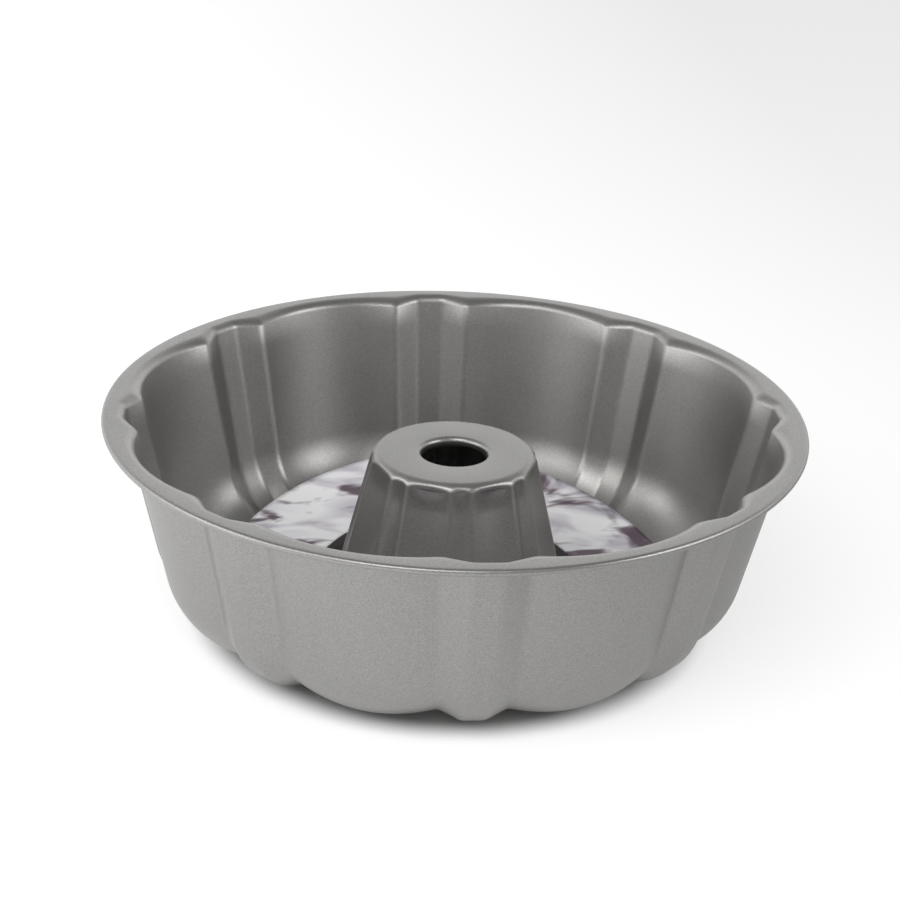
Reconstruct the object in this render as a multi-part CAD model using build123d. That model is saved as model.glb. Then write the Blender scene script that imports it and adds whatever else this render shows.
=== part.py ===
from build123d import *
import os
from math import cos, radians, sin, tan

# Fluted ring cake tin with a loose printed card ring
# Millimetres, +Z up, origin on the table under the middle of the tin

# Driving sizes of the tin
rim_diameter = 250.0          # over the curled edge
rim_centre_height = 77.3      # middle of the curled edge above the table
sheet = 0.8                   # coated steel sheet
curl_diameter = 2.4           # edge rolled tight under the flange
curl_turn = 270.0             # degrees that the roll shows outside

# Flutes: narrow and wide lobes take turns round the tin. A wide lobe is one arc, and a narrow
# one has two straight sides and a floor between them.
lobe_pairs = 8
narrow_half_angle = 7.35      # degrees, half of a narrow lobe seen from the middle
floor_half_angle = 2.5        # the same for its floor
floor_radius = 5.0            # rounding between its floor and sides, underside
floor_turn = 22.0             # degrees between its floor and a side

# Outer wall, sized on the underside of the sheet
wall_radius = 118.15          # over the lobes, at the height of the curled edge
wall_draft = 12.5             # degrees from upright
heel_radius = 31.2            # bend from the wall into the floor
crown_radius = 80.0           # flatter bend from the heel to the land that the tin stands on
crown_turn = 13.0             # degrees that the flatter bend turns
mouth_radius = 3.6            # bend from the wall out into the flange, on the cake's side

# Creases between the lobes, and how deep they lie below the lobes. Round the heel they keep one
# depth, and then they run out in a straight line towards the land.
crease_radius = 2.5           # rounding at the bottom of a crease, underside
crease_turn = 38.0            # degrees between the two lobes at a crease
flange_crease_depth = 2.6
wall_crease_depth = 4.6       # at the top of the wall
heel_crease_depth = 3.6
run_out_slope = 25.0          # degrees from level

# Centre tube, sized on the side that the cake touches
tube_top_height = 61.8
tube_top_radius = 29.9        # where the ridges would meet the flat top without the bend
tube_shoulder_bend = 3.0      # bend from the side to the flat top
tube_draft = 13.5             # degrees from upright
tube_foot_bend = 24.0         # bend from the tube into the floor
tube_narrow_half_angle = 7.0
tube_ridge_radius = 1.6       # rounding of the ridges between two panels
tube_ridge_turn = 76.0        # degrees between the two panels at a ridge
wide_top_scoop = 2.7          # how far the wide panels lie in from the ridges, at the top
wide_foot_scoop = 2.3
narrow_top_scoop = 1.5        # the same for the narrow panels
narrow_foot_scoop = 1.2

# Pierced hole in the top of the tube, its edge turned down
hole_radius = 12.0
hole_bend = 1.0               # bend of the turned edge, on the hollow's side
hole_lip_length = 1.6

# Loose card ring, bowed so that two of its sides stand up
card_radius = 86.5
card_hole_radius = 52.0
card_thickness = 0.5
card_curl_radius = 275.0
card_clearance = 0.3

# Cuts run past the faces that they open by this much
overrun = 5.0

# How many steps shape each bend
crown_steps = 2
heel_steps = 6
mouth_steps = 4
shoulder_steps = 4
foot_steps = 5
curl_steps = 6
lip_steps = 2


# Places worked out from the sizes
pitch = 360.0 / lobe_pairs
curl_radius = curl_diameter / 2
flange_top = rim_centre_height + curl_radius
flange_underside = flange_top - sheet
wall_turn = 90.0 - wall_draft
side_turn = 90.0 + tube_draft


def wall_line(height):
    """Radius of the wall's underside at a height"""
    return wall_radius - (rim_centre_height - height) * tan(radians(wall_draft))


def side_line(height):
    """Radius of the tube's ridges at a height"""
    return tube_top_radius + (tube_top_height - height) * tan(radians(tube_draft))


# A bend is an arc round a centre. The turn is 0 where the skin faces down, 90 where it faces
# out and 180 where it faces up. The reach is below zero where the bend's centre lies outside.
def on_bend(centre, reach, turn):
    """Radius and height of a point on a bend"""
    radius = centre[0] + reach * sin(radians(turn))
    height = centre[1] - reach * cos(radians(turn))
    return radius, height


heel_height = crown_radius - (crown_radius - heel_radius) * cos(radians(crown_turn))
heel_top = heel_height - heel_radius * sin(radians(wall_draft))
heel_centre = (wall_line(heel_top) - heel_radius * cos(radians(wall_draft)), heel_height)
land_radius = heel_centre[0] - (crown_radius - heel_radius) * sin(radians(crown_turn))
crown_centre = (land_radius, crown_radius)

mouth_reach = mouth_radius - sheet
mouth_height = flange_underside - mouth_reach
mouth_foot = mouth_height + mouth_reach * sin(radians(wall_draft))
mouth_centre = (wall_line(mouth_foot) + mouth_reach * cos(radians(wall_draft)), mouth_height)

shoulder_height = tube_top_height - tube_shoulder_bend
shoulder_foot = shoulder_height + tube_shoulder_bend * sin(radians(tube_draft))
shoulder_centre = (side_line(shoulder_foot) - tube_shoulder_bend * cos(radians(tube_draft)), shoulder_height)

foot_height = sheet + tube_foot_bend
foot_top = foot_height - tube_foot_bend * sin(radians(tube_draft))
foot_centre = (side_line(foot_top) + tube_foot_bend * cos(radians(tube_draft)), foot_height)


def between(first, last, share):
    """A value part of the way from the first to the last"""
    return first + (last - first) * share


def heel_crease_line(height, inset):
    """Radius of the bottom of a crease at a height, round the heel and where it runs out"""
    reach = heel_radius - heel_crease_depth - inset
    start = on_bend(heel_centre, reach, run_out_slope)
    if height < start[1]:
        return start[0] - (start[1] - height) / tan(radians(run_out_slope))
    return heel_centre[0] + (reach**2 - (heel_height - height) ** 2) ** 0.5


def heel_depth(lobe_place, inset):
    """How far the creases lie in from the lobes at a place on the heel or the crown"""
    return max(lobe_place[0] - heel_crease_line(lobe_place[1], inset), 0)


def at(radius, bearing, height):
    """A point by its distance from the axis, its bearing in degrees and its height"""
    return Vector(radius * cos(radians(bearing)), radius * sin(radians(bearing)), height)


def trimmed(edge, first_cut, last_cut):
    """An edge cut back at both ends, for the rounding of its corners"""
    return edge.trim(first_cut / edge.length, 1 - last_cut / edge.length)


def panel(middle, corner, bearing, half_angle, height):
    """One curved panel of an outline: the arc from corner to corner through its middle"""
    return Edge.make_three_point_arc(
        at(corner, bearing - half_angle, height),
        at(middle, bearing, height),
        at(corner, bearing + half_angle, height),
    )


def rounded(pieces, blends):
    """Closed outline of pieces in a row, each corner rounded by its blend"""
    kept = []
    for piece, before, after in zip(pieces, blends[-1:] + blends[:-1], blends):
        kept.append(trimmed(piece, before, after))
    edges = []
    for here, whole, following in zip(kept, pieces, kept[1:] + kept[:1]):
        edges.append(here)
        edges.append(Edge.make_bezier(here @ 1, whole @ 1, following @ 0))
    return Wire(edges)


def wall_outline(lobe_place, depth, inset):
    """Outline of the outer wall at one height, the creases lying in from the lobes by the depth"""
    lobe, height = lobe_place
    corner = lobe - depth
    at_crease = (crease_radius + inset) * tan(radians(crease_turn / 2))
    at_floor = (floor_radius - inset) * tan(radians(floor_turn / 2))
    pieces = []
    for count in range(lobe_pairs):
        narrow = count * pitch
        creases = [at(corner, narrow + side * narrow_half_angle, height) for side in (-1, 1)]
        floor = [at(lobe, narrow + side * floor_half_angle, height) for side in (-1, 1)]
        pieces.append(Edge.make_line(creases[0], floor[0]))
        pieces.append(Edge.make_line(floor[0], floor[1]))
        pieces.append(Edge.make_line(floor[1], creases[1]))
        pieces.append(panel(lobe, corner, narrow + pitch / 2, pitch / 2 - narrow_half_angle, height))
    return rounded(pieces, [at_floor, at_floor, at_crease, at_crease] * lobe_pairs)


def tube_outline(ridge_place, scoops, inset):
    """Outline of the tube at one height, the panels scooped in between the ridges"""
    corner, height = ridge_place
    blend = (tube_ridge_radius - inset) * tan(radians(tube_ridge_turn / 2))
    pieces = []
    for count in range(lobe_pairs):
        narrow = count * pitch
        wide_half = pitch / 2 - tube_narrow_half_angle
        pieces.append(panel(corner - scoops[0], corner, narrow, tube_narrow_half_angle, height))
        pieces.append(panel(corner - scoops[1], corner, narrow + pitch / 2, wide_half, height))
    return rounded(pieces, [blend] * len(pieces))


def on_steps(centre, reach, first_turn, last_turn, steps):
    """Even steps along a bend: how far along each is, and its place"""
    for step in range(steps + 1):
        share = step / steps
        yield share, on_bend(centre, reach, between(first_turn, last_turn, share))


def loft(outlines):
    """Solid with straight walls from outline to outline"""
    return Solid.make_loft(outlines, ruled=True)


def wall_form(inset):
    """Solid inside the wall's skin: the underside with no inset, the cake's side with the sheet's"""
    outlines = []
    for share, place in on_steps(crown_centre, crown_radius - inset, 0, crown_turn, crown_steps):
        outlines.append(wall_outline(place, heel_depth(place, inset), inset))
    outlines.pop()
    for share, place in on_steps(heel_centre, heel_radius - inset, crown_turn, wall_turn, heel_steps):
        outlines.append(wall_outline(place, heel_depth(place, inset), inset))
    for share, place in on_steps(mouth_centre, -mouth_reach - inset, wall_turn, 0, mouth_steps):
        outlines.append(wall_outline(place, between(wall_crease_depth, flange_crease_depth, share), inset))
    return loft(outlines)


def tube_form(inset):
    """Solid inside the tube's skin: the cake's side with no inset, the hollow's with the sheet's"""
    outlines = []
    for share, place in on_steps(foot_centre, -tube_foot_bend - inset, 180, side_turn, foot_steps):
        scoops = (narrow_foot_scoop * share, wide_foot_scoop * share)
        outlines.append(tube_outline(place, scoops, inset))
    for share, place in on_steps(shoulder_centre, tube_shoulder_bend - inset, side_turn, 180, shoulder_steps):
        left = (1 - share) ** 2
        outlines.append(tube_outline(place, (narrow_top_scoop * left, wide_top_scoop * left), inset))
    return loft(outlines)


def stepped_arc(centre, radius, start, turn, steps):
    """Corners of an arc drawn in flat steps, as a profile's radius and height"""
    corners = []
    for step in range(steps + 1):
        angle = radians(start + turn * step / steps)
        corners.append((centre[0] + radius * cos(angle), centre[1] + radius * sin(angle)))
    return corners


def revolved(corners):
    """Solid of revolution from the corners of its profile"""
    with BuildSketch(Plane.XZ) as profile:
        with BuildLine():
            Polyline(corners, close=True)
        make_face()
    return revolve(profile.sketch, Axis.Z)


def rim():
    """Flat flange and rolled edge, filled in as far as the axis"""
    middle = (rim_diameter / 2 - curl_radius, rim_centre_height)
    roll = stepped_arc(middle, curl_radius, 90, -curl_turn, curl_steps)
    return revolved([(0, flange_underside), (0, flange_top)] + roll + [(roll[-1][0], flange_underside)])


def hole_lip():
    """Edge of the hole, turned down into the hollow"""
    middle = (hole_radius + sheet + hole_bend, tube_top_height - sheet - hole_bend)
    tip = middle[1] - hole_lip_length
    bore_side = stepped_arc(middle, hole_bend + sheet, 90, 90, lip_steps)
    hollow_side = stepped_arc(middle, hole_bend, 180, -90, lip_steps)
    return revolved(bore_side + [(hole_radius, tip), (hole_radius + sheet, tip)] + hollow_side)


def pan():
    """The tin: one sheet with its wall, channel, tube and curled edge"""
    cavity = wall_form(sheet) - tube_form(0)
    body = wall_form(0) + rim() - cavity - tube_form(sheet)
    opening = Cylinder(hole_radius + sheet + hole_bend, overrun).moved(Location((0, 0, tube_top_height)))
    return body - opening + hole_lip()


def card():
    """The loose card ring, bowed about an axis along X, resting on the creases' ridges"""
    reach = heel_radius - heel_crease_depth - sheet
    start = on_bend(heel_centre, reach, run_out_slope)
    seat_height = start[1] - (start[0] - card_radius) * tan(radians(run_out_slope))
    underside = seat_height + card_clearance
    bow_axis = Location((0, 0, underside + card_curl_radius), (0, 90, 0))
    length = 2 * (card_radius + overrun)
    bow = Cylinder(card_curl_radius, length) - Cylinder(card_curl_radius - card_thickness, length)
    blank = Cylinder(card_radius, card_curl_radius) - Cylinder(card_hole_radius, card_curl_radius)
    blank = blank.moved(Location((0, 0, underside)))
    return bow.moved(bow_axis) & blank


os.makedirs("parts", exist_ok=True)
export_step(pan(), "parts/pan.step")
export_step(card(), "parts/card.step")
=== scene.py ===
# %% [markdown]
# # Fluted ring cake tin
#
# The object is a round ring tin pressed from one sheet of coated steel, with a loose printed card
# ring in its channel. The imported model is loaded first and stays as it is: it gives the sizes and
# the bodies. Everything below only dresses it, in metres, in the same frame.

# %% Load the frame
import bmesh
import bpy
from math import atan2, cos, floor, pi, radians, sin, sqrt, tan
from mathutils import Matrix, Vector


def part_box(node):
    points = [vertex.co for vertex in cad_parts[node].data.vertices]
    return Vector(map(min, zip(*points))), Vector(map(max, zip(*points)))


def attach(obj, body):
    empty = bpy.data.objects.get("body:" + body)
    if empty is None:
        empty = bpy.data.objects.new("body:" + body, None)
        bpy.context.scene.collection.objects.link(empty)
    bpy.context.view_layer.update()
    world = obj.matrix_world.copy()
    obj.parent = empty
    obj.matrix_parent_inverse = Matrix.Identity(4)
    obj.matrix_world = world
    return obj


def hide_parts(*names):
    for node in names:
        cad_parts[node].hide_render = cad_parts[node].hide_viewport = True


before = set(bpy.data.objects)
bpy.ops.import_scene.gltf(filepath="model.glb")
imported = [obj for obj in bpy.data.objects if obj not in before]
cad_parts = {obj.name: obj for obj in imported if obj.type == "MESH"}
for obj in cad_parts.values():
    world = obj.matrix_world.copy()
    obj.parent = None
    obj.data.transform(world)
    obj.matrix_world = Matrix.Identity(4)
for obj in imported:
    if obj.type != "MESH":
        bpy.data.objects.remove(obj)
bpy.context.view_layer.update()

# %% [markdown]
# ## Sizes
#
# A maker's drawing of a tin like this one has few sizes: the rim, the height, the wall's draft and
# the bends. The rim and the height are read from the frame, so that the dressed tin can't drift
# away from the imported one. The others are the drawing's own, in millimetres. The shoulder of the
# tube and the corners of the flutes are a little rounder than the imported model's, as pressing leaves
# them.

# %% Sizes of the tin
MM = 0.001
tin_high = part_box("pan")[1]
card_low, card_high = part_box("card")
rim_radius = tin_high[0]
rim_top = tin_high[2]

sheet = 0.8 * MM
curl_radius = 1.2 * MM
lobe_pairs = 8
narrow_half = radians(7.35)
floor_half = radians(2.5)
floor_radius = 5.0 * MM
floor_turn = radians(22.0)
wall_gauge = 118.15 * MM
wall_draft = radians(12.5)
heel_radius = 31.2 * MM
crown_radius = 80.0 * MM
crown_turn = radians(13.0)
mouth_radius = 3.6 * MM
crease_radius = 2.5 * MM
crease_turn = radians(38.0)
flange_depth = 2.6 * MM
wall_depth = 4.6 * MM
heel_depth = 3.6 * MM
run_out = radians(25.0)

tube_top = 61.8 * MM
tube_gauge = 29.9 * MM
shoulder_bend = 4.4 * MM
tube_draft = radians(13.5)
foot_bend = 24.0 * MM
tube_narrow_half = radians(7.0)
ridge_radius = 1.6 * MM
ridge_turn = radians(76.0)
wide_scoop = (2.7 * MM, 2.3 * MM)
narrow_scoop = (1.5 * MM, 1.2 * MM)
hole_radius = 12.0 * MM
hole_bend = 1.0 * MM
lip_length = 1.6 * MM

# The rounding of the corners is this many times as wide as the radii above make it, from the first
# end of a bend to the last
shoulder_softness = (2.4, 1.4)
heel_softness = (1.0, 1.7)
mouth_softness = (1.7, 2.4)

rim_middle = rim_top - curl_radius
half_sheet = sheet / 2
wall_turn = pi / 2 - wall_draft
side_turn = pi / 2 + tube_draft
pitch = 2 * pi / lobe_pairs
print("rim radius, mm:", round(rim_radius / MM, 2), "height, mm:", round(rim_top / MM, 2))

# %% [markdown]
# ## The tin's profile
#
# A pressed ring tin is a turned form with flutes pushed into it. Its cross-section is one unbroken
# line: from the turned-down edge of the hole, over the flat top and down the tube, through the
# channel, up the wall, out along the flange and round the rolled edge. The line is drawn through
# the middle of the sheet, and the sheet gets its thickness at the end. Each point also carries how
# deep the flutes are there, because they fade out towards the table and towards the tube's top.

# %% Stations along the profile
stations = []


def station(radius, height, kind="round", softness=1.0, *depths):
    """One point of the profile: its radius and height, and how the flutes shape the skin there.
    On the wall the radius is the lobes', and the depth tells how far in the creases lie. On the
    tube it is the ridges', and the depths are the scoops of the narrow and the wide panels. The
    softness widens the rounding of the corners."""
    stations.append((radius, height, kind, softness, *depths))


def on_bend(centre, reach, turn):
    """Radius and height on a bend. The turn is 0 where the skin faces down and 90 degrees where it
    faces out, and the reach is below zero where the bend's centre lies outside the sheet."""
    return centre[0] + reach * sin(turn), centre[1] - reach * cos(turn)


def shares(steps, first=0):
    """Even shares from 0 to 1, leaving out the first one where the last bend ended there"""
    return [step / steps for step in range(first, steps + 1)]


def mix(first, last, share):
    """A value part of the way from the first to the last"""
    return first + (last - first) * share


# %% Hole, flat top and shoulder of the tube
lip_centre = (hole_radius + sheet + hole_bend, tube_top - sheet - hole_bend)
lip_reach = hole_bend + half_sheet
station(hole_radius + half_sheet, lip_centre[1] - lip_length)
station(hole_radius + half_sheet, lip_centre[1] - lip_length / 2)
for share in shares(7):
    turn = mix(-pi / 2, -pi, share)
    station(*on_bend(lip_centre, lip_reach, turn))

shoulder_height = tube_top - shoulder_bend
shoulder_foot = shoulder_height + shoulder_bend * sin(tube_draft)


def side_line(height):
    """Radius of the tube's ridges at a height, on the cake's side"""
    return tube_gauge + (tube_top - height) * tan(tube_draft)


shoulder_centre = (side_line(shoulder_foot) - shoulder_bend * cos(tube_draft), shoulder_height)
station(mix(stations[-1][0], shoulder_centre[0], 0.5), tube_top - half_sheet)
for share in shares(9):
    turn = mix(pi, side_turn, share)
    place = on_bend(shoulder_centre, shoulder_bend - half_sheet, turn)
    scoops = (narrow_scoop[0] * share ** 3, wide_scoop[0] * share ** 3)
    station(*place, "tube", mix(*shoulder_softness, share), *scoops)

# %% Side and foot of the tube
foot_height = sheet + foot_bend
foot_top = foot_height - foot_bend * sin(tube_draft)
foot_centre = (side_line(foot_top) + foot_bend * cos(tube_draft), foot_height)
side_start = stations[-1][:2]
side_end = on_bend(foot_centre, -foot_bend - half_sheet, side_turn)
for share in shares(5, first=1):
    place = (mix(side_start[0], side_end[0], share), mix(side_start[1], side_end[1], share))
    station(*place, "tube", shoulder_softness[1], mix(*narrow_scoop, share), mix(*wide_scoop, share))
for share in shares(11, first=1):
    turn = mix(side_turn, pi, share)
    place = on_bend(foot_centre, -foot_bend - half_sheet, turn)
    left = 1 - share
    station(*place, "tube", shoulder_softness[1], narrow_scoop[1] * left, wide_scoop[1] * left)

# %% Channel, wall and mouth
heel_height = crown_radius - (crown_radius - heel_radius) * cos(crown_turn)
heel_top = heel_height - heel_radius * sin(wall_draft)


def wall_line(height):
    """Radius of the wall's underside at a height, over the lobes"""
    return wall_gauge - (rim_middle - height) * tan(wall_draft)


heel_centre = (wall_line(heel_top) - heel_radius * cos(wall_draft), heel_height)
crown_centre = (heel_centre[0] - (crown_radius - heel_radius) * sin(crown_turn), crown_radius)


def crease_line(height):
    """Radius of the creases' bottom at a height: one depth round the heel, then a straight run-out"""
    reach = heel_radius - heel_depth - half_sheet
    start = on_bend(heel_centre, reach, run_out)
    if height < start[1]:
        return start[0] - (start[1] - height) / tan(run_out)
    return heel_centre[0] + sqrt(reach ** 2 - (heel_height - height) ** 2)


def lobed(place, depth, softness=1.0):
    """A station of the wall"""
    station(*place, "wall", softness, depth)


# The creases fade out where their straight run-out meets the skin
for share in shares(6):
    place = on_bend(crown_centre, crown_radius - half_sheet, mix(0, crown_turn, share))
    lobed(place, max(place[0] - crease_line(place[1]), 0.0))
for share in shares(16, first=1):
    place = on_bend(heel_centre, heel_radius - half_sheet, mix(crown_turn, wall_turn, share))
    lobed(place, max(place[0] - crease_line(place[1]), 0.0), mix(*heel_softness, share))

flange_height = rim_top - half_sheet
mouth_reach = mouth_radius - half_sheet
mouth_under = mouth_radius - sheet
mouth_height = rim_top - sheet - mouth_under
mouth_foot = mouth_height + mouth_under * sin(wall_draft)
mouth_centre = (wall_line(mouth_foot) + mouth_under * cos(wall_draft), mouth_height)
wall_start = on_bend(heel_centre, heel_radius - half_sheet, wall_turn)
wall_end = on_bend(mouth_centre, -mouth_reach, wall_turn)
wall_foot_depth = stations[-1][-1]
for share in shares(6, first=1):
    place = (mix(wall_start[0], wall_end[0], share), mix(wall_start[1], wall_end[1], share))
    lobed(place, mix(wall_foot_depth, wall_depth, share), heel_softness[1])
for share in shares(10, first=1):
    place = on_bend(mouth_centre, -mouth_reach, mix(wall_turn, 0, share))
    lobed(place, mix(wall_depth, flange_depth, share), mix(*mouth_softness, share))

# %% Flange and rolled edge
curl_middle = (rim_radius - curl_radius, rim_middle)
flange_start = stations[-1][0]
for share in shares(3, first=1):
    station(mix(flange_start, curl_middle[0], share), flange_height)
for share in shares(16, first=1):
    turn = mix(pi, -pi / 2, share)
    station(*on_bend(curl_middle, curl_radius - half_sheet, turn))
print("profile points:", len(stations))

# %% [markdown]
# ## Spinning the profile and pressing the flutes
#
# The profile becomes a skin by spinning it once round the axis. The columns are then crowded
# towards the creases, where the sheet bends most, and every point is moved in or out to the radius
# that the flutes give it: an arc or a straight line across each panel, and a small rounding where two
# panels meet. Spinning first keeps the mesh in even rows, so highlights run smoothly round the tin.

# %% How crowded the columns are
# Half a pitch, from the middle of a narrow lobe to the middle of a wide one: how many columns reach
# which bearing. The corners of the narrow lobes and the creases get the most.
column_knots = [(0, 0.0), (2, floor_half - radians(0.6)), (7, floor_half + radians(0.6)),
                (10, radians(5.5)), (22, radians(8.7)), (31, pitch / 2)]
half_columns = column_knots[-1][0]
columns = 2 * half_columns * lobe_pairs
print("columns round the tin:", columns)


def crowded(bearing):
    """The bearing that an evenly spaced column moves to"""
    lobe = floor(bearing / pitch + 0.5)
    column = (bearing / pitch - lobe) * 2 * half_columns
    for (start, low), (end, high) in zip(column_knots, column_knots[1:]):
        if abs(column) <= end + 0.001:
            offset = mix(low, high, (abs(column) - start) / (end - start))
            return lobe * pitch + (offset if column > 0 else -offset)
    return bearing


# %% How a flute bends the skin
wall_corners = [(floor_half, (floor_radius - half_sheet) * tan(floor_turn / 2)),
                (narrow_half, (crease_radius + half_sheet) * tan(crease_turn / 2))]
tube_corners = [(tube_narrow_half, (ridge_radius - half_sheet) * tan(ridge_turn / 2))]


def straight_panel(first_radius, first_angle, last_radius, last_angle, angle):
    """Radius on the straight line between two points given by radius and bearing"""
    rise_x = last_radius * cos(last_angle) - first_radius * cos(first_angle)
    rise_y = last_radius * sin(last_angle) - first_radius * sin(first_angle)
    across = first_radius * (cos(first_angle) * rise_y - sin(first_angle) * rise_x)
    return across / (cos(angle) * rise_y - sin(angle) * rise_x)


def curved_panel(corner, rise, half, offset):
    """Radius on the arc across one panel, from its corners through its middle"""
    middle = corner + rise
    flat = corner * cos(half)
    if abs(rise) < 0.001 * MM or abs(middle - flat) < 0.0001 * MM:
        return mix(middle, corner, (offset / half) ** 2)
    centre = (middle ** 2 - corner ** 2) / (2 * (middle - flat))
    reach = middle - centre
    side = sqrt(max(reach ** 2 - (centre * sin(offset)) ** 2, 0.0))
    return centre * cos(offset) + (side if reach > 0 else -side)


def sharp_radius(angle, radius, kind, *depths):
    """Radius of the skin at an angle from the middle of a narrow lobe, with its corners sharp"""
    if kind == "tube":
        if angle < tube_narrow_half:
            return curved_panel(radius, -depths[0], tube_narrow_half, angle)
        return curved_panel(radius, -depths[1], pitch / 2 - tube_narrow_half, pitch / 2 - angle)
    crease = radius - depths[0]
    if angle < floor_half:
        return radius * cos(floor_half) / cos(angle)
    if angle < narrow_half:
        return straight_panel(radius, floor_half, crease, narrow_half, angle)
    return curved_panel(crease, depths[0], pitch / 2 - narrow_half, pitch / 2 - angle)


def fluted_radius(bearing, radius, kind, softness, *depths):
    """Radius of the skin at a bearing, each corner between two panels rounded"""
    if kind == "round":
        return radius
    angle = abs((bearing + pitch / 2) % pitch - pitch / 2)
    for corner, blend in tube_corners if kind == "tube" else wall_corners:
        zone = blend * softness / radius
        share = ((angle - corner) / zone + 1) / 2
        if 0 < share < 1:
            before = sharp_radius(corner - zone, radius, kind, *depths)
            middle = sharp_radius(corner, radius, kind, *depths)
            after = sharp_radius(corner + zone, radius, kind, *depths)
            return mix(mix(before, middle, share), mix(middle, after, share), share)
    return sharp_radius(angle, radius, kind, *depths)


# %% Spin the skin
def tin_skin():
    """The tin's middle skin: the profile spun round the axis, with the flutes pressed in"""
    bm = bmesh.new()
    layer = bm.verts.layers.int.new("station")
    line = []
    for number, (radius, height, *flute) in enumerate(stations):
        vert = bm.verts.new((radius, 0.0, height))
        vert[layer] = number
        line.append(vert)
    for here, following in zip(line, line[1:]):
        bm.edges.new((here, following))
    bmesh.ops.spin(
        bm, geom=bm.verts[:] + bm.edges[:], cent=(0, 0, 0), axis=(0, 0, 1), dvec=(0, 0, 0),
        angle=2 * pi, steps=columns, use_merge=True, use_duplicate=False,
    )
    bmesh.ops.remove_doubles(bm, verts=bm.verts[:], dist=0.005 * MM)
    for vert in bm.verts:
        bearing = crowded(atan2(vert.co.y, vert.co.x) % (2 * pi))
        radius, height, *flute = stations[vert[layer]]
        radius = fluted_radius(bearing, radius, *flute)
        vert.co = (radius * cos(bearing), radius * sin(bearing), height)
    bmesh.ops.recalc_face_normals(bm, faces=bm.faces[:])
    for face in bm.faces:
        face.smooth = True
    mesh = bpy.data.meshes.new("tin_sheet")
    bm.to_mesh(mesh)
    bm.free()
    return mesh


tin_mesh = tin_skin()
tin = bpy.data.objects.new("tin_sheet", tin_mesh)
bpy.context.scene.collection.objects.link(tin)
thickness = tin.modifiers.new("sheet_thickness", "SOLIDIFY")
thickness.thickness = sheet
thickness.offset = 0.0
thickness.use_even_offset = True
print("tin skin:", len(tin_mesh.vertices), "points,", len(tin_mesh.polygons), "faces")

# %% [markdown]
# ## The loose card
#
# The card is a flat ring of printed board that lies in the channel, bowed a little so that two of
# its sides stand up. It is a ring of faces spun from one radial line, then bent to the bow that the
# packed card has, which its box gives: the sides that stand up reach the box's top.

# %% Make the card
card_radius = card_high[0]
card_hole = 52.0 * MM
card_thickness = 0.5 * MM
card_reach = card_high[1]
card_bow = card_high[2] - card_low[2] - card_thickness
card_curl = card_reach ** 2 / (2 * card_bow) + card_bow / 2
print("card curl radius, mm:", round(card_curl / MM, 1))


def card_sheet():
    """The card's middle skin"""
    bm = bmesh.new()
    line = []
    for share in shares(18):
        line.append(bm.verts.new((mix(card_hole, card_radius, share), 0.0, 0.0)))
    for here, following in zip(line, line[1:]):
        bm.edges.new((here, following))
    bmesh.ops.spin(
        bm, geom=bm.verts[:] + bm.edges[:], cent=(0, 0, 0), axis=(0, 0, 1), dvec=(0, 0, 0),
        angle=2 * pi, steps=180, use_merge=True, use_duplicate=False,
    )
    bmesh.ops.remove_doubles(bm, verts=bm.verts[:], dist=0.005 * MM)
    for vert in bm.verts:
        rise = card_curl - sqrt(card_curl ** 2 - vert.co.y ** 2)
        vert.co.z = card_low[2] + card_thickness / 2 + rise
    bmesh.ops.recalc_face_normals(bm, faces=bm.faces[:])
    for face in bm.faces:
        face.smooth = True
    mesh = bpy.data.meshes.new("card_ring")
    bm.to_mesh(mesh)
    bm.free()
    return mesh


card = bpy.data.objects.new("card_ring", card_sheet())
bpy.context.scene.collection.objects.link(card)
board = card.modifiers.new("board_thickness", "SOLIDIFY")
board.thickness = card_thickness
board.offset = 0.0
board.use_even_offset = True

# %% [markdown]
# ## Materials
#
# Colours are written as sRGB hex values, as a colour picker shows them, and one function turns them
# to the linear values that the shaders work in. Another adds a node with its settings and links.

# %% Colour and node helpers
def linear(hex_value, alpha=1.0):
    """An sRGB hex colour as the linear values that a shader takes"""
    channels = [int(hex_value[place:place + 2], 16) / 255 for place in (1, 3, 5)]
    return [c / 12.92 if c <= 0.04045 else ((c + 0.055) / 1.055) ** 2.4 for c in channels] + [alpha]


def add(tree, kind, settings=None, **links):
    """A new node with its settings and inputs. An input is a value or another node's socket."""
    node = tree.nodes.new(kind)
    for name, value in (settings or {}).items():
        setattr(node, name, value)
    for name, value in links.items():
        by_place = name[1:].isdigit()
        socket = node.inputs[int(name[1:]) if by_place else name.replace("_", " ")]
        if isinstance(value, bpy.types.NodeSocket):
            tree.links.new(value, socket)
        else:
            socket.default_value = value
    return node


def new_material(name):
    """An empty node material with its output, and the tree to add to"""
    material = bpy.data.materials.new(name)
    material.use_nodes = True
    tree = material.node_tree
    tree.nodes.clear()
    return material, tree, tree.nodes.new("ShaderNodeOutputMaterial")


# %% [markdown]
# The sheet is steel with a sprayed non-stick coating, a polymer with fine metal flakes that is
# baked on. To the eye it is a satin metal: it mirrors the room, but blurred, and close to it a fine
# even grain shows where the flakes lie at slightly different angles.

# %% Coated steel
GRAIN_MM = 0.32


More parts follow.
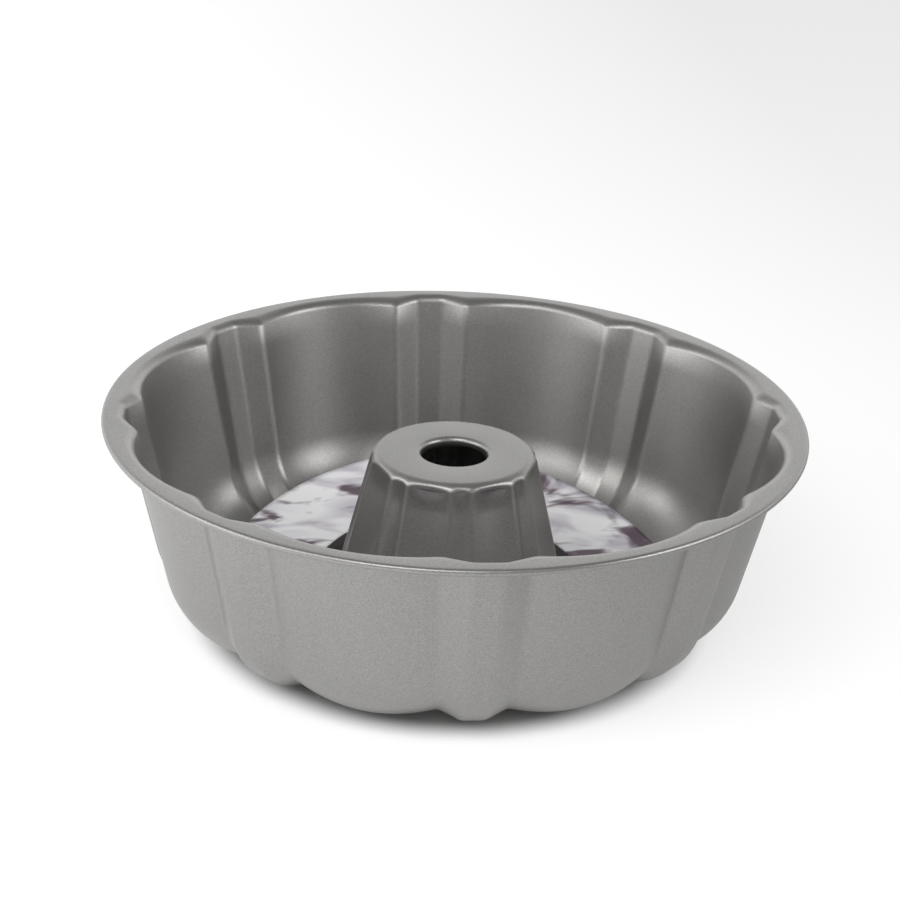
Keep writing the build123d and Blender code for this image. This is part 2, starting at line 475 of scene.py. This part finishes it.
def coated_steel():
    """Satin grey flake coating on steel"""
    material, tree, output = new_material("coated_steel")
    place = add(tree, "ShaderNodeTexCoord")
    metres = place.outputs["Object"]
    grain = add(tree, "ShaderNodeTexNoise", {"noise_dimensions": "3D"}, Vector=metres,
                Scale=1 / (GRAIN_MM * MM), Detail=2.0, Roughness=0.6)
    cloud = add(tree, "ShaderNodeTexNoise", {}, Vector=metres, Scale=28.0, Detail=3.0, Roughness=0.5)
    flakes = add(tree, "ShaderNodeMapRange", {}, Value=grain.outputs["Fac"], _1=0.32, _2=0.68)
    tint = add(tree, "ShaderNodeMix", {"data_type": "RGBA"}, Factor=flakes.outputs[0],
               _6=linear("#92918F"), _7=linear("#B3B2B0"))
    rough = add(tree, "ShaderNodeMapRange", {}, Value=cloud.outputs["Fac"],
                _1=0.3, _2=0.7, _3=0.36, _4=0.42)
    bump = add(tree, "ShaderNodeBump", {}, Height=grain.outputs["Fac"], Strength=0.18, Distance=0.05 * MM)
    coat = add(tree, "ShaderNodeBsdfPrincipled", {}, Base_Color=tint.outputs[2], Metallic=1.0,
               Roughness=rough.outputs[0], Normal=bump.outputs["Normal"])
    tree.links.new(coat.outputs[0], output.inputs["Surface"])
    return material


tin.data.materials.append(coated_steel())
print("grain, mm:", GRAIN_MM)

# %% [markdown]
# The card is white board, printed by offset and varnished, which leaves it smooth with a low gloss.
# Its print is made up for this model: pale grey clouds some 20 mm wide, with a few plum strokes. Both
# are noises. The strokes are the peaks of one that is stretched along one way and bent a little.

# %% Printed card
CLOUD_MM = 20.0
STROKE_MM = 15.0


def printed_card():
    """White board with a soft print"""
    material, tree, output = new_material("printed_card")
    place = add(tree, "ShaderNodeTexCoord")
    metres = place.outputs["Object"]
    turned = add(tree, "ShaderNodeMapping", {}, Vector=metres, Rotation=(0.0, 0.0, radians(35)),
                 Scale=(0.5, 1.0, 1.0))
    clouds = add(tree, "ShaderNodeTexNoise", {}, Vector=turned.outputs[0], Scale=1 / (CLOUD_MM * MM),
                 Detail=2.0, Roughness=0.5, Distortion=1.5)
    wash = add(tree, "ShaderNodeMapRange", {}, Value=clouds.outputs["Fac"], _1=0.35, _2=0.6)
    paper = add(tree, "ShaderNodeMix", {"data_type": "RGBA"}, Factor=wash.outputs[0],
                _6=linear("#C9C5CE"), _7=linear("#FAF9FB"))
    drawn = add(tree, "ShaderNodeMapping", {}, Vector=metres, Rotation=(0.0, 0.0, radians(-28)),
                Scale=(0.5, 1.0, 1.0))
    strokes = add(tree, "ShaderNodeTexNoise", {}, Vector=drawn.outputs[0], Scale=1 / (STROKE_MM * MM),
                  Detail=3.0, Roughness=0.55, Distortion=0.6)
    ink = add(tree, "ShaderNodeMapRange", {"interpolation_type": "SMOOTHSTEP"},
              Value=strokes.outputs["Fac"], _1=0.52, _2=0.64, _3=0.0, _4=0.9)
    tint = add(tree, "ShaderNodeMix", {"data_type": "RGBA"}, Factor=ink.outputs[0],
               _6=paper.outputs[2], _7=linear("#4E3346"))
    board = add(tree, "ShaderNodeBsdfPrincipled", {}, Base_Color=tint.outputs[2], Roughness=0.45)
    tree.links.new(board.outputs[0], output.inputs["Surface"])
    return material


card.data.materials.append(printed_card())
print("print, mm: clouds", CLOUD_MM, "strokes", STROKE_MM)

# %% [markdown]
# ## Floor, light and camera
#
# The tin stands on a white table that runs out of the picture. Its paint keeps the shadow, and a
# glow that only camera and mirror rays see lifts it towards white. The glow is left out under and
# close round the tin, which paints a dark shadow where the two meet, and it is weaker on the right,
# which paints shade there. Mirror rays see it strong on the left and not at all on the right: a
# painted reflection that makes the tin's left side lighter than its right.

# %% Floor
# Painted shadow round the tin: no glow inside the first radius, full glow from the second
PAINTED_SHADOW_FADES_FROM = 83 * MM
PAINTED_SHADOW_GONE_AT = 98 * MM
TABLE_HALF = 4.0
TABLE_DROP = 0.05 * MM


def white_floor():
    """White table that keeps the tin's shadow, with a painted shadow round the tin, painted shade on the
    right and a painted reflection for the metal, and looks white away from the tin
    """
    material, tree, output = new_material("white_floor")
    paint = add(tree, "ShaderNodeBsdfDiffuse", {}, Color=linear("#BFBFBF"))
    place = add(tree, "ShaderNodeTexCoord")
    reach = add(tree, "ShaderNodeVectorMath", {"operation": "LENGTH"}, _0=place.outputs["Object"])
    # Painted shadow: the glow is 0 close round the tin and fades in further out, so the floor there stays
    # dark
    past_painted_shadow = add(tree, "ShaderNodeMapRange", {"interpolation_type": "SMOOTHSTEP"},
               Value=reach.outputs["Value"], _1=PAINTED_SHADOW_FADES_FROM, _2=PAINTED_SHADOW_GONE_AT, _3=0.0, _4=1.0)
    sideways = add(tree, "ShaderNodeSeparateXYZ", {}, _0=place.outputs["Object"])
    # Painted shade: the glow that the camera sees is weaker on the right, so the floor there looks shaded
    seen_glow_painted_shade = add(tree, "ShaderNodeMapRange", {}, Value=sideways.outputs["X"],
                    _1=-0.3, _2=0.3, _3=0.72, _4=0.47)
    # Painted reflection: mirror rays see a glow strong on the left and none on the right, so the tin's
    # left side looks lighter
    painted_reflection_glow = add(tree, "ShaderNodeMapRange", {}, Value=sideways.outputs["X"],
                        _1=-0.35, _2=0.3, _3=0.82, _4=0.0)
    seen = add(tree, "ShaderNodeLightPath")
    to_camera = add(tree, "ShaderNodeMath", {"operation": "MULTIPLY"},
                    _0=seen.outputs["Is Camera Ray"], _1=seen_glow_painted_shade.outputs[0])
    to_both = add(tree, "ShaderNodeMath", {"operation": "MULTIPLY_ADD"},
                  _0=seen.outputs["Is Glossy Ray"], _1=painted_reflection_glow.outputs[0], _2=to_camera.outputs[0])
    strength = add(tree, "ShaderNodeMath", {"operation": "MULTIPLY"},
                   _0=to_both.outputs[0], _1=past_painted_shadow.outputs[0])
    glow = add(tree, "ShaderNodeEmission", {}, Color=linear("#FFFFFF"), Strength=strength.outputs[0])
    both = add(tree, "ShaderNodeAddShader", {}, _0=paint.outputs[0], _1=glow.outputs[0])
    tree.links.new(both.outputs[0], output.inputs["Surface"])
    return material


floor_mesh = bpy.data.meshes.new("floor")
bm = bmesh.new()
bmesh.ops.create_grid(bm, x_segments=1, y_segments=1, size=TABLE_HALF)
bmesh.ops.translate(bm, vec=(0.0, 0.0, -TABLE_DROP), verts=bm.verts[:])
bm.to_mesh(floor_mesh)
bm.free()
table_top = bpy.data.objects.new("floor", floor_mesh)
bpy.context.scene.collection.objects.link(table_top)
table_top.data.materials.append(white_floor())
print("floor, m:", [round(v, 3) for v in table_top.dimensions])

# %% [markdown]
# The room is a white one, and the camera sees it at a strength of 1. The metal sees a darker ceiling,
# and walls that go from 1.2 behind the tin to 0.4 behind the camera, because a satin metal gets its
# shading from a room that isn't the same all round. The light that the room gives is 0.6, because
# three soft boxes add to it. Two stand low at the sides, and the rounded heels of the lobes show them
# as bright spots. The third hangs over the camera, for the rolled rim and the tube's shoulder.

# %% Room
ROOM_LIGHT = 0.6


def white_room(world):
    """White room with a darker ceiling, and walls that are dimmer on the camera's side"""
    tree = world.node_tree
    seen = add(tree, "ShaderNodeLightPath")
    place = add(tree, "ShaderNodeTexCoord")
    way = add(tree, "ShaderNodeSeparateXYZ", {}, _0=place.outputs["Generated"])
    ceiling = add(tree, "ShaderNodeMapRange", {"interpolation_type": "SMOOTHSTEP"}, Value=way.outputs["Z"],
                  _1=0.35, _2=0.75, _3=1.0, _4=0.3)
    backward = add(tree, "ShaderNodeVectorMath", {"operation": "DOT_PRODUCT"},
                   _0=place.outputs["Generated"], _1=(-0.4, 0.92, 0.0))
    open_side = add(tree, "ShaderNodeMapRange", {"interpolation_type": "SMOOTHSTEP"},
                    Value=backward.outputs["Value"], _1=-0.8, _2=0.7, _3=0.42, _4=1.22)
    walls = add(tree, "ShaderNodeMath", {"operation": "MULTIPLY"},
                _0=ceiling.outputs[0], _1=open_side.outputs[0])
    mirrored = add(tree, "ShaderNodeMix", {}, Factor=seen.outputs["Is Glossy Ray"],
                   _2=ROOM_LIGHT, _3=walls.outputs[0])
    strength = add(tree, "ShaderNodeMath", {"operation": "MAXIMUM"},
                   _0=mirrored.outputs[0], _1=seen.outputs["Is Camera Ray"])
    room = tree.nodes["Background"]
    room.inputs["Color"].default_value = linear("#FFFFFF")
    tree.links.new(strength.outputs[0], room.inputs["Strength"])


world = bpy.data.worlds.new("studio")
bpy.context.scene.world = world
world.use_nodes = True
white_room(world)
print("light of the room:", ROOM_LIGHT)

# %% Soft boxes
tin_turn = radians(6.08)


def soft_box(name, side, height, distance, size, watts):
    """An area lamp that faces the tin. Its side is a bearing with the camera at -90 degrees."""
    lamp = bpy.data.lights.new(name, "AREA")
    lamp.shape = "RECTANGLE"
    lamp.size, lamp.size_y = size
    lamp.energy = watts
    holder = bpy.data.objects.new(name, lamp)
    turn = radians(side) - tin_turn
    across = cos(radians(height))
    holder.location = Vector((cos(turn) * across, sin(turn) * across, sin(radians(height)))) * distance
    holder.rotation_euler = (-holder.location).to_track_quat("-Z", "Y").to_euler()
    bpy.context.scene.collection.objects.link(holder)


soft_box("right_soft_box", -17, 30, 1.0, (0.6, 0.4), 2.5)
soft_box("left_soft_box", -160, 30, 1.0, (0.8, 0.4), 1.8)
soft_box("front_soft_box", -108, 50, 1.2, (0.8, 0.5), 4.3)
print("lamps:", len(bpy.data.lights))

# %% [markdown]
# The camera was solved from the rim's ellipse and the flutes. It is aimed at the middle of the rim
# from the front and above, then turned a little sideways and down, and rolled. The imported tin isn't
# turned for the picture: the camera goes round the other way by the tin's turn.

# %% Camera
IMAGE_SIZE = 900
FOCAL_PIXELS = 2043.2
camera_tilt = radians(23.03)
camera_distance = 729.9 * MM
camera_roll = radians(2.41)
pan_angle = radians(-0.12)
lift_angle = radians(-1.08)

ahead = Vector((0, cos(camera_tilt), -sin(camera_tilt)))
across = Vector((1, 0, 0))
upward = across.cross(ahead)
turned_across = cos(pan_angle) * across - sin(pan_angle) * ahead
turned_ahead = sin(pan_angle) * across + cos(pan_angle) * ahead
lifted_up = cos(lift_angle) * upward - sin(lift_angle) * turned_ahead
look = sin(lift_angle) * upward + cos(lift_angle) * turned_ahead
right = cos(camera_roll) * turned_across + sin(camera_roll) * lifted_up
top = -sin(camera_roll) * turned_across + cos(camera_roll) * lifted_up

spin_back = Matrix.Rotation(-tin_turn, 3, "Z")
axes = [spin_back @ axis for axis in (right, top, -look)]
place = spin_back @ (-camera_distance * ahead) + Vector((0, 0, rim_middle))
rows = [[axes[column][row] for column in range(3)] + [place[row]] for row in range(3)]
matrix = Matrix(rows + [[0, 0, 0, 1]])

lens = bpy.data.cameras.new("camera")
lens.sensor_width = 36.0
lens.lens = FOCAL_PIXELS / IMAGE_SIZE * lens.sensor_width
lens.clip_start = 0.01
camera = bpy.data.objects.new("camera", lens)
camera.matrix_world = matrix
bpy.context.scene.collection.objects.link(camera)
bpy.context.scene.camera = camera
bpy.context.scene.view_settings.view_transform = "Standard"
print("lens, mm:", round(lens.lens, 1))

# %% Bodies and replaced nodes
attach(tin, "tin")
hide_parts("pan")
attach(card, "card_ring")
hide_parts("card")
